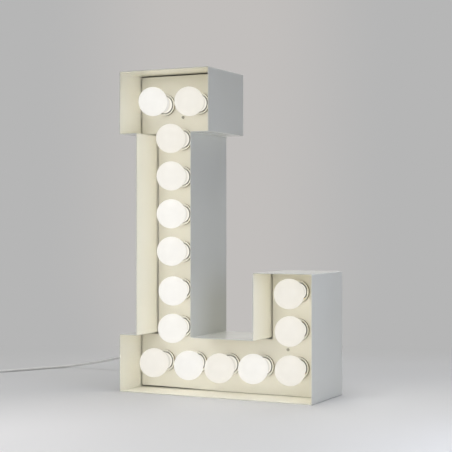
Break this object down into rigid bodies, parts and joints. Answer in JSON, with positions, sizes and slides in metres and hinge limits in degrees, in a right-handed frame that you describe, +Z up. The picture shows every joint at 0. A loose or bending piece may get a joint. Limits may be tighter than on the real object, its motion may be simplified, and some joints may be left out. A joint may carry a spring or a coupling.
{
  "type": "light-up letter",
  "caption": "Free-standing light-up letter L with slab serifs: folded sheet-metal wall, open front, inset panel of opal globe lamps, screwed rear cover and a cord with switch and plug.",
  "frame": {"origin": "on the floor under the middle of the letter's base, cord left out", "axes": "+X to the letter's right as it is read, +Y to the rear, away from the open front, +Z up"},
  "size_m": [0.8819, 0.3792, 0.6],
  "materials": {
    "white_paint": "semi-gloss white paint on sheet metal",
    "cream_paint": "semi-gloss cream-white paint on sheet metal",
    "opal_glass": "opal glass, lit",
    "porcelain_white": "white moulded holder",
    "brass": "plain brass",
    "zinc_steel": "zinc plate",
    "dark_steel": "dull zinc plate",
    "nickel": "nickel plate",
    "brown_insulation": "extruded insulation",
    "blue_insulation": "extruded insulation",
    "core_insulation": "extruded insulation",
    "block_plastic": "moulded plastic",
    "gland_plastic": "moulded plastic",
    "grey_cord": "matt grey cord sheath",
    "dark_tie": "flexible tie",
    "white_plastic": "moulded plastic",
    "rocker_plastic": "moulded plastic"
  },
  "bodies": {
    "letter": {"return_wall": "white_paint", "cover_tabs": "white_paint", "rear_cover": "white_paint", "rear_screws": "zinc_steel", "lamp_panel": "cream_paint", "panel_pillars": "zinc_steel", "panel_screws": "dark_steel", "holder_bodies": "porcelain_white", "holder_rings": "porcelain_white", "holder_shells": "brass", "contact_springs": "zinc_steel", "holder_terminals": "brass", "live_wire": "brown_insulation", "neutral_wire": "blue_insulation", "terminal_block": "block_plastic", "cord_cores": "core_insulation", "cord_gland": "gland_plastic", "gland_nut": "gland_plastic", "strain_relief": "grey_cord", "supply_cord": "grey_cord", "switch_base": "white_plastic", "switch_cover": "white_plastic", "switch_contacts": "brass", "switch_screws": "zinc_steel", "tail_cord": "grey_cord", "cord_coil": "grey_cord", "coil_tie": "dark_tie", "plug_body": "white_plastic", "plug_pins": "nickel"},
    "rocker": {"switch_rocker": "rocker_plastic"},
    "contact_01": {"contact_01": "brass"},
    "contact_02": {"contact_02": "brass"},
    "contact_03": {"contact_03": "brass"},
    "contact_04": {"contact_04": "brass"},
    "contact_05": {"contact_05": "brass"},
    "contact_06": {"contact_06": "brass"},
    "contact_07": {"contact_07": "brass"},
    "contact_08": {"contact_08": "brass"},
    "contact_09": {"contact_09": "brass"},
    "contact_10": {"contact_10": "brass"},
    "contact_11": {"contact_11": "brass"},
    "contact_12": {"contact_12": "brass"},
    "contact_13": {"contact_13": "brass"},
    "contact_14": {"contact_14": "brass"},
    "contact_15": {"contact_15": "brass"},
    "bulb_01": {"bulb_01": "opal_glass"},
    "bulb_02": {"bulb_02": "opal_glass"},
    "bulb_03": {"bulb_03": "opal_glass"},
    "bulb_04": {"bulb_04": "opal_glass"},
    "bulb_05": {"bulb_05": "opal_glass"},
    "bulb_06": {"bulb_06": "opal_glass"},
    "bulb_07": {"bulb_07": "opal_glass"},
    "bulb_08": {"bulb_08": "opal_glass"},
    "bulb_09": {"bulb_09": "opal_glass"},
    "bulb_10": {"bulb_10": "opal_glass"},
    "bulb_11": {"bulb_11": "opal_glass"},
    "bulb_12": {"bulb_12": "opal_glass"},
    "bulb_13": {"bulb_13": "opal_glass"},
    "bulb_14": {"bulb_14": "opal_glass"},
    "bulb_15": {"bulb_15": "opal_glass"}
  },
  "joints": [
    {"name": "bulb_01_advance", "type": "slide", "parent": "letter", "child": "contact_01", "axis": [0, -1, 0], "range_m": [0, 0.00362]},
    {"name": "bulb_01_turn", "type": "hinge", "parent": "contact_01", "child": "bulb_01", "pos_m": [-0.138, 0.005, 0.541], "axis": [0, -1, 0], "range_deg": [0, 360]},
    {"name": "bulb_02_advance", "type": "slide", "parent": "letter", "child": "contact_02", "axis": [0, -1, 0], "range_m": [0, 0.00362]},
    {"name": "bulb_02_turn", "type": "hinge", "parent": "contact_02", "child": "bulb_02", "pos_m": [-0.064, 0.005, 0.541], "axis": [0, -1, 0], "range_deg": [0, 360]},
    {"name": "bulb_03_advance", "type": "slide", "parent": "letter", "child": "contact_03", "axis": [0, -1, 0], "range_m": [0, 0.00362]},
    {"name": "bulb_03_turn", "type": "hinge", "parent": "contact_03", "child": "bulb_03", "pos_m": [-0.101, 0.005, 0.4745], "axis": [0, -1, 0], "range_deg": [0, 360]},
    {"name": "bulb_04_advance", "type": "slide", "parent": "letter", "child": "contact_04", "axis": [0, -1, 0], "range_m": [0, 0.00362]},
    {"name": "bulb_04_turn", "type": "hinge", "parent": "contact_04", "child": "bulb_04", "pos_m": [-0.101, 0.005, 0.4037], "axis": [0, -1, 0], "range_deg": [0, 360]},
    {"name": "bulb_05_advance", "type": "slide", "parent": "letter", "child": "contact_05", "axis": [0, -1, 0], "range_m": [0, 0.00362]},
    {"name": "bulb_05_turn", "type": "hinge", "parent": "contact_05", "child": "bulb_05", "pos_m": [-0.101, 0.005, 0.3329], "axis": [0, -1, 0], "range_deg": [0, 360]},
    {"name": "bulb_06_advance", "type": "slide", "parent": "letter", "child": "contact_06", "axis": [0, -1, 0], "range_m": [0, 0.00362]},
    {"name": "bulb_06_turn", "type": "hinge", "parent": "contact_06", "child": "bulb_06", "pos_m": [-0.101, 0.005, 0.2621], "axis": [0, -1, 0], "range_deg": [0, 360]},
    {"name": "bulb_07_advance", "type": "slide", "parent": "letter", "child": "contact_07", "axis": [0, -1, 0], "range_m": [0, 0.00362]},
    {"name": "bulb_07_turn", "type": "hinge", "parent": "contact_07", "child": "bulb_07", "pos_m": [-0.101, 0.005, 0.1913], "axis": [0, -1, 0], "range_deg": [0, 360]},
    {"name": "bulb_08_advance", "type": "slide", "parent": "letter", "child": "contact_08", "axis": [0, -1, 0], "range_m": [0, 0.00362]},
    {"name": "bulb_08_turn", "type": "hinge", "parent": "contact_08", "child": "bulb_08", "pos_m": [-0.101, 0.005, 0.1205], "axis": [0, -1, 0], "range_deg": [0, 360]},
    {"name": "bulb_09_advance", "type": "slide", "parent": "letter", "child": "contact_09", "axis": [0, -1, 0], "range_m": [0, 0.00362]},
    {"name": "bulb_09_turn", "type": "hinge", "parent": "contact_09", "child": "bulb_09", "pos_m": [-0.138, 0.005, 0.054], "axis": [0, -1, 0], "range_deg": [0, 360]},
    {"name": "bulb_10_advance", "type": "slide", "parent": "letter", "child": "contact_10", "axis": [0, -1, 0], "range_m": [0, 0.00362]},
    {"name": "bulb_10_turn", "type": "hinge", "parent": "contact_10", "child": "bulb_10", "pos_m": [-0.069, 0.005, 0.054], "axis": [0, -1, 0], "range_deg": [0, 360]},
    {"name": "bulb_11_advance", "type": "slide", "parent": "letter", "child": "contact_11", "axis": [0, -1, 0], "range_m": [0, 0.00362]},
    {"name": "bulb_11_turn", "type": "hinge", "parent": "contact_11", "child": "bulb_11", "pos_m": [0, 0.005, 0.054], "axis": [0, -1, 0], "range_deg": [0, 360]},
    {"name": "bulb_12_advance", "type": "slide", "parent": "letter", "child": "contact_12", "axis": [0, -1, 0], "range_m": [0, 0.00362]},
    {"name": "bulb_12_turn", "type": "hinge", "parent": "contact_12", "child": "bulb_12", "pos_m": [0.069, 0.005, 0.054], "axis": [0, -1, 0], "range_deg": [0, 360]},
    {"name": "bulb_13_advance", "type": "slide", "parent": "letter", "child": "contact_13", "axis": [0, -1, 0], "range_m": [0, 0.00362]},
    {"name": "bulb_13_turn", "type": "hinge", "parent": "contact_13", "child": "bulb_13", "pos_m": [0.138, 0.005, 0.054], "axis": [0, -1, 0], "range_deg": [0, 360]},
    {"name": "bulb_14_advance", "type": "slide", "parent": "letter", "child": "contact_14", "axis": [0, -1, 0], "range_m": [0, 0.00362]},
    {"name": "bulb_14_turn", "type": "hinge", "parent": "contact_14", "child": "bulb_14", "pos_m": [0.138, 0.005, 0.12325], "axis": [0, -1, 0], "range_deg": [0, 360]},
    {"name": "bulb_15_advance", "type": "slide", "parent": "letter", "child": "contact_15", "axis": [0, -1, 0], "range_m": [0, 0.00362]},
    {"name": "bulb_15_turn", "type": "hinge", "parent": "contact_15", "child": "bulb_15", "pos_m": [0.138, 0.005, 0.1925], "axis": [0, -1, 0], "range_deg": [0, 360]},
    {"name": "switch_rock", "type": "hinge", "parent": "letter", "child": "rocker", "pos_m": [-0.638, -0.044, 0.0155], "axis": [0.848, -0.5299, 0], "range_deg": [0, 16]}
  ],
  "couplings": [
    {"joint": "bulb_01_turn", "follows": "bulb_01_advance", "rad_per_m": 1735.7},
    {"joint": "bulb_02_turn", "follows": "bulb_02_advance", "rad_per_m": 1735.7},
    {"joint": "bulb_03_turn", "follows": "bulb_03_advance", "rad_per_m": 1735.7},
    {"joint": "bulb_04_turn", "follows": "bulb_04_advance", "rad_per_m": 1735.7},
    {"joint": "bulb_05_turn", "follows": "bulb_05_advance", "rad_per_m": 1735.7},
    {"joint": "bulb_06_turn", "follows": "bulb_06_advance", "rad_per_m": 1735.7},
    {"joint": "bulb_07_turn", "follows": "bulb_07_advance", "rad_per_m": 1735.7},
    {"joint": "bulb_08_turn", "follows": "bulb_08_advance", "rad_per_m": 1735.7},
    {"joint": "bulb_09_turn", "follows": "bulb_09_advance", "rad_per_m": 1735.7},
    {"joint": "bulb_10_turn", "follows": "bulb_10_advance", "rad_per_m": 1735.7},
    {"joint": "bulb_11_turn", "follows": "bulb_11_advance", "rad_per_m": 1735.7},
    {"joint": "bulb_12_turn", "follows": "bulb_12_advance", "rad_per_m": 1735.7},
    {"joint": "bulb_13_turn", "follows": "bulb_13_advance", "rad_per_m": 1735.7},
    {"joint": "bulb_14_turn", "follows": "bulb_14_advance", "rad_per_m": 1735.7},
    {"joint": "bulb_15_turn", "follows": "bulb_15_advance", "rad_per_m": 1735.7}
  ]
}
